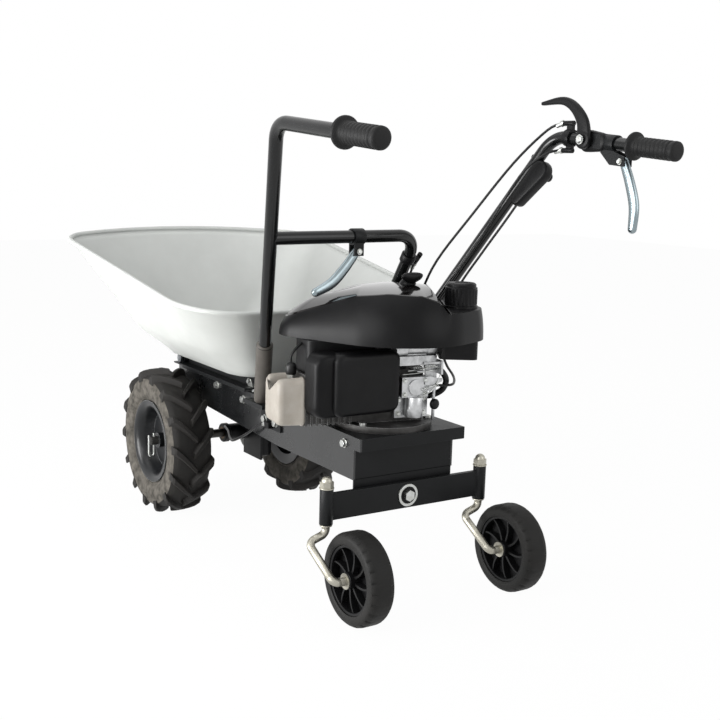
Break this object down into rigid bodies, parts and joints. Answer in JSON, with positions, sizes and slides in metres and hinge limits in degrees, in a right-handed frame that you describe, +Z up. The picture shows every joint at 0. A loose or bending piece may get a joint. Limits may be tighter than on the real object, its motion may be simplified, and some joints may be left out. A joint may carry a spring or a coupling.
{
  "type": "motor_barrow",
  "caption": "Petrol motor barrow with a galvanised tipping tub, two lugged drive wheels, a black box chassis, rear casters and raised handles",
  "frame": {"origin": "On the ground, under the middle of the overall length and of the width between the wheels", "axes": "+X forwards towards the tub, +Y to the operator's left, +Z up"},
  "size_m": [1.3655, 0.675, 0.942],
  "materials": {
    "frame_black": "satin black powder coat on folded steel plate",
    "tube_black": "gloss black paint on steel tube",
    "bracket_black": "satin black paint, worn at the edges",
    "galvanised": "matt galvanised sheet with a faint grain",
    "zinc": "bright zinc plate on fasteners and pins",
    "rod_zinc": "zinc plate on bent round bar",
    "lever_steel": "blue-white zinc plate on pressed steel",
    "shaft_steel": "turned steel",
    "bronze": "cast bronze, machined",
    "cast_alloy": "die-cast alloy",
    "case_grey": "grey painted casting",
    "head_grey": "pale warm grey paint on a pressed cover",
    "silencer": "heat-resistant dark paint",
    "rim_black": "gloss black paint on pressed steel",
    "tread_rubber": "moulded lugged tyre rubber",
    "caster_rubber": "moulded solid rubber",
    "hub_plastic": "moulded black nylon",
    "cowl_plastic": "smooth black moulding",
    "box_plastic": "fine-textured black moulding",
    "reel_plastic": "natural nylon",
    "grip_rubber": "moulded grip rubber",
    "cable_black": "plastic cable sheath",
    "belt_rubber": "cloth-backed rubber belt"
  },
  "bodies": {
    "chassis": {"left_side_plate": "frame_black", "right_side_plate": "frame_black", "rear_plate": "frame_black", "engine_deck": "frame_black", "front_crossmember": "frame_black", "tub_rest": "frame_black", "hinge_pin": "zinc", "chassis_bolts": "zinc", "gear_case": "case_grey", "gearbox_hanger": "frame_black", "axle_bushes": "bronze", "v_belt": "belt_rubber", "beam_bolt": "zinc", "left_handlebar": "tube_black", "right_handlebar": "tube_black", "handle_brackets": "bracket_black", "cross_tube": "tube_black", "handle_grips": "grip_rubber", "lever_brackets": "bracket_black", "throttle_housing": "box_plastic", "cable_clamps": "bracket_black", "control_cables": "cable_black", "engine_block": "cast_alloy", "head_cover": "head_grey", "spark_plug": "box_plastic", "air_filter": "box_plastic", "carburettor": "cast_alloy", "breather_hose": "cable_black", "muffler": "silencer", "fuel_tank": "box_plastic", "cowl": "cowl_plastic"},
    "front_axle": {"axle_shaft": "shaft_steel", "worm_wheel": "bronze", "left_rim": "rim_black", "right_rim": "rim_black", "left_tyre": "tread_rubber", "right_tyre": "tread_rubber", "wheel_pins": "zinc"},
    "worm": {"worm_shaft": "shaft_steel"},
    "crank": {"crankshaft": "shaft_steel", "flywheel": "shaft_steel"},
    "belt_arm": {"tensioner": "shaft_steel"},
    "rear_beam": {"caster_beam": "frame_black", "beam_bushes": "zinc"},
    "left_caster": {"left_caster_rod": "rod_zinc"},
    "right_caster": {"right_caster_rod": "rod_zinc"},
    "left_caster_wheel": {"left_caster_hub": "hub_plastic", "left_caster_tyre": "caster_rubber"},
    "right_caster_wheel": {"right_caster_hub": "hub_plastic", "right_caster_tyre": "caster_rubber"},
    "drive_hook": {"drive_lever": "box_plastic"},
    "brake_hand": {"brake_lever": "lever_steel"},
    "reverse_hand": {"reverse_lever": "lever_steel"},
    "throttle_hand": {"throttle_lever": "box_plastic"},
    "filler": {"fuel_cap": "box_plastic"},
    "starter_grip": {"starter_handle": "box_plastic"},
    "starter_drum": {"starter_reel": "reel_plastic"},
    "hopper": {"tub": "galvanised", "tub_cradle": "frame_black"},
    "catch": {"tub_latch": "zinc"}
  },
  "joints": [
    {"name": "axle_spin", "type": "hinge", "parent": "chassis", "child": "front_axle", "pos_m": [0.362, 0, 0.167], "axis": [0, 1, 0], "continuous": true},
    {"name": "worm_spin", "type": "hinge", "parent": "chassis", "child": "worm", "pos_m": [0.31338, -0.05, 0.167], "axis": [0, 0, 1], "continuous": true},
    {"name": "crank_spin", "type": "hinge", "parent": "chassis", "child": "crank", "pos_m": [-0.268, 0, 0.4], "axis": [0, 0, 1], "continuous": true},
    {"name": "tensioner_swing", "type": "hinge", "parent": "chassis", "child": "belt_arm", "pos_m": [0.062, 0.062, 0.29], "axis": [0, 0, 1], "range_deg": [0, 7.5]},
    {"name": "beam_rock", "type": "hinge", "parent": "chassis", "child": "rear_beam", "pos_m": [-0.353, 0, 0.201], "axis": [1, 0, 0], "range_deg": [-8, 8]},
    {"name": "left_caster_swivel", "type": "hinge", "parent": "rear_beam", "child": "left_caster", "pos_m": [-0.353, 0.175, 0.2], "axis": [0, 0, 1], "continuous": true},
    {"name": "right_caster_swivel", "type": "hinge", "parent": "rear_beam", "child": "right_caster", "pos_m": [-0.353, -0.175, 0.2], "axis": [0, 0, 1], "continuous": true},
    {"name": "left_caster_spin", "type": "hinge", "parent": "left_caster", "child": "left_caster_wheel", "pos_m": [-0.423, 0.148, 0.085], "axis": [0, 1, 0], "continuous": true},
    {"name": "right_caster_spin", "type": "hinge", "parent": "right_caster", "child": "right_caster_wheel", "pos_m": [-0.423, -0.202, 0.085], "axis": [0, 1, 0], "continuous": true},
    {"name": "drive_lever_pull", "type": "hinge", "parent": "chassis", "child": "drive_hook", "pos_m": [-0.479, -0.278, 0.864], "axis": [0, -1, 0], "range_deg": [0, 40], "stiffness_Nm_per_rad": 1.5},
    {"name": "brake_lever_pull", "type": "hinge", "parent": "chassis", "child": "brake_hand", "pos_m": [-0.56, -0.3, 0.826], "axis": [0, 1, 0], "range_deg": [0, 30], "stiffness_Nm_per_rad": 1.5},
    {"name": "reverse_lever_pull", "type": "hinge", "parent": "chassis", "child": "reverse_hand", "pos_m": [-0.238, 0.052, 0.648], "axis": [1, 0, 0], "range_deg": [0, 22], "stiffness_Nm_per_rad": 1.5},
    {"name": "throttle_lever_turn", "type": "hinge", "parent": "chassis", "child": "throttle_hand", "pos_m": [-0.36811, -0.2831, 0.79782], "axis": [0.1309, -0.9696, -0.2069], "range_deg": [0, 40]},
    {"name": "fuel_cap_turn", "type": "hinge", "parent": "chassis", "child": "filler", "pos_m": [-0.34219, -0.11873, 0.575], "axis": [0, 0, 1], "range_deg": [0, 120]},
    {"name": "starter_pull", "type": "slide", "parent": "chassis", "child": "starter_grip", "axis": [-0.6, 0, 0.8], "range_m": [0, 0.25], "stiffness_N_per_m": 30},
    {"name": "starter_reel_turn", "type": "hinge", "parent": "chassis", "child": "starter_drum", "pos_m": [-0.268, 0, 0.535], "axis": [0, 0, 1], "range_deg": [0, 330]},
    {"name": "tub_tip", "type": "hinge", "parent": "chassis", "child": "hopper", "pos_m": [0.422, 0, 0.345], "axis": [0, 1, 0], "range_deg": [0, 60]},
    {"name": "tub_latch_turn", "type": "hinge", "parent": "hopper", "child": "catch", "pos_m": [0.095, 0.098, 0.346], "axis": [0, 1, 0], "range_deg": [0, 30]}
  ],
  "couplings": [
    {"joint": "worm_spin", "follows": "axle_spin", "ratio": -30},
    {"joint": "tensioner_swing", "follows": "drive_lever_pull", "ratio": 0.1875},
    {"joint": "starter_reel_turn", "follows": "starter_pull", "rad_per_m": 22}
  ]
}
